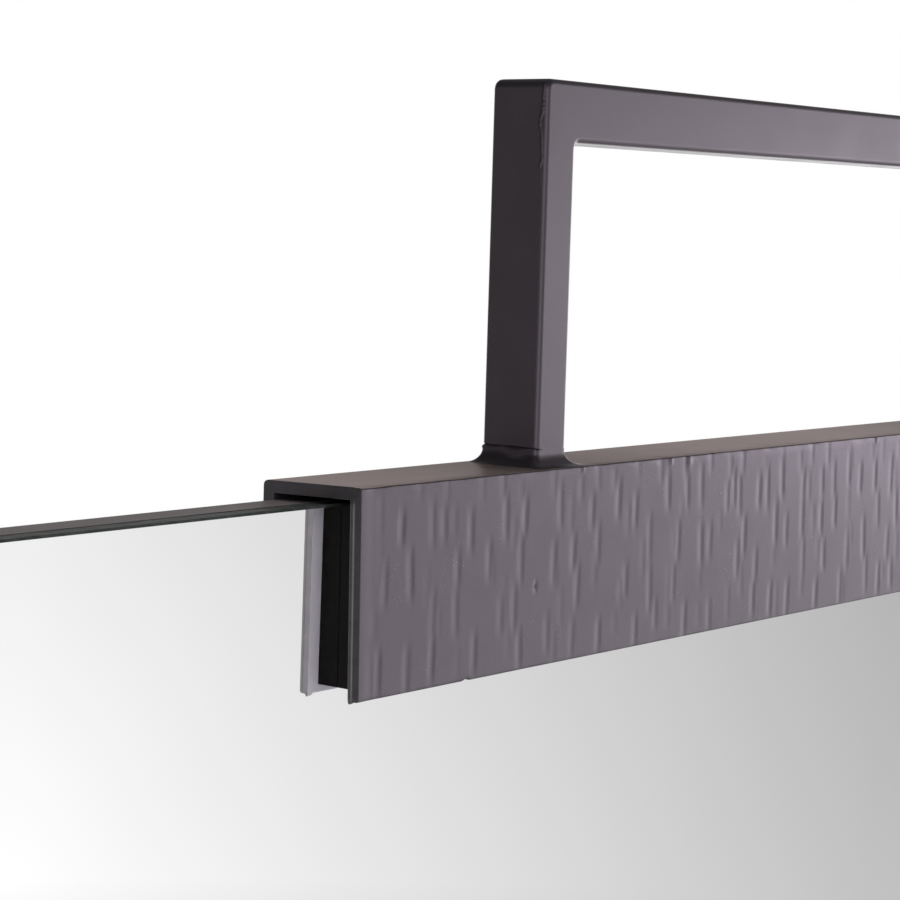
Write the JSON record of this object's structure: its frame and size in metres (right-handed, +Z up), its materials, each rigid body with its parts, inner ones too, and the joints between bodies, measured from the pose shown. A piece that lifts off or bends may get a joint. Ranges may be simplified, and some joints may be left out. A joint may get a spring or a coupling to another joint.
{
  "type": "wall mirror",
  "caption": "Frameless rectangular wall mirror capped by a hammered iron channel with a rectangular hoop, hung on a two-part wall cleat.",
  "frame": {"origin": "middle of the wall cleat's screw pattern, on the wall's face", "axes": "+X to the viewer's right, +Y into the wall, +Z up"},
  "size_m": [0.61, 0.034, 1.0163],
  "materials": {
    "mirror": "silvered float glass, ground edge",
    "bond_tape": "closed-cell foam tape",
    "backing_board": "fibreboard, matt black paint",
    "hammered_iron": "hammered plate, satin bronze-grey paint",
    "satin_iron": "smooth bar, satin bronze-grey paint",
    "felt": "pressed black felt",
    "setting_rubber": "matt",
    "bumper_rubber": "matt",
    "aluminium": "mill finish extrusion",
    "screw_steel": "zinc plated"
  },
  "bodies": {
    "wall_side": {"wall_cleat": "aluminium"},
    "mirror": {"mirror_glass": "mirror", "bond_tape_left": "bond_tape", "bond_tape_centre": "bond_tape", "bond_tape_right": "bond_tape", "backing_board": "backing_board", "header_channel": "hammered_iron", "front_pad": "felt", "setting_pad_left": "setting_rubber", "setting_pad_right": "setting_rubber", "hoop_left_post": "satin_iron", "hoop_right_post": "satin_iron", "hoop_rail": "satin_iron", "weld_left": "satin_iron", "weld_right": "satin_iron", "mirror_cleat": "aluminium", "bumper_left": "bumper_rubber", "bumper_right": "bumper_rubber", "channel_screw_1": "screw_steel", "channel_screw_2": "screw_steel", "channel_screw_3": "screw_steel", "channel_screw_4": "screw_steel", "cleat_screw_1": "screw_steel", "cleat_screw_2": "screw_steel", "cleat_screw_3": "screw_steel", "cleat_screw_4": "screw_steel", "cleat_screw_5": "screw_steel", "cleat_screw_6": "screw_steel", "bumper_screw_1": "screw_steel", "bumper_screw_2": "screw_steel"}
  },
  "joints": [
    {"name": "lift_off", "type": "slide", "parent": "wall_side", "child": "mirror", "axis": [0, 0, 1], "range_m": [0, 0.02]}
  ]
}
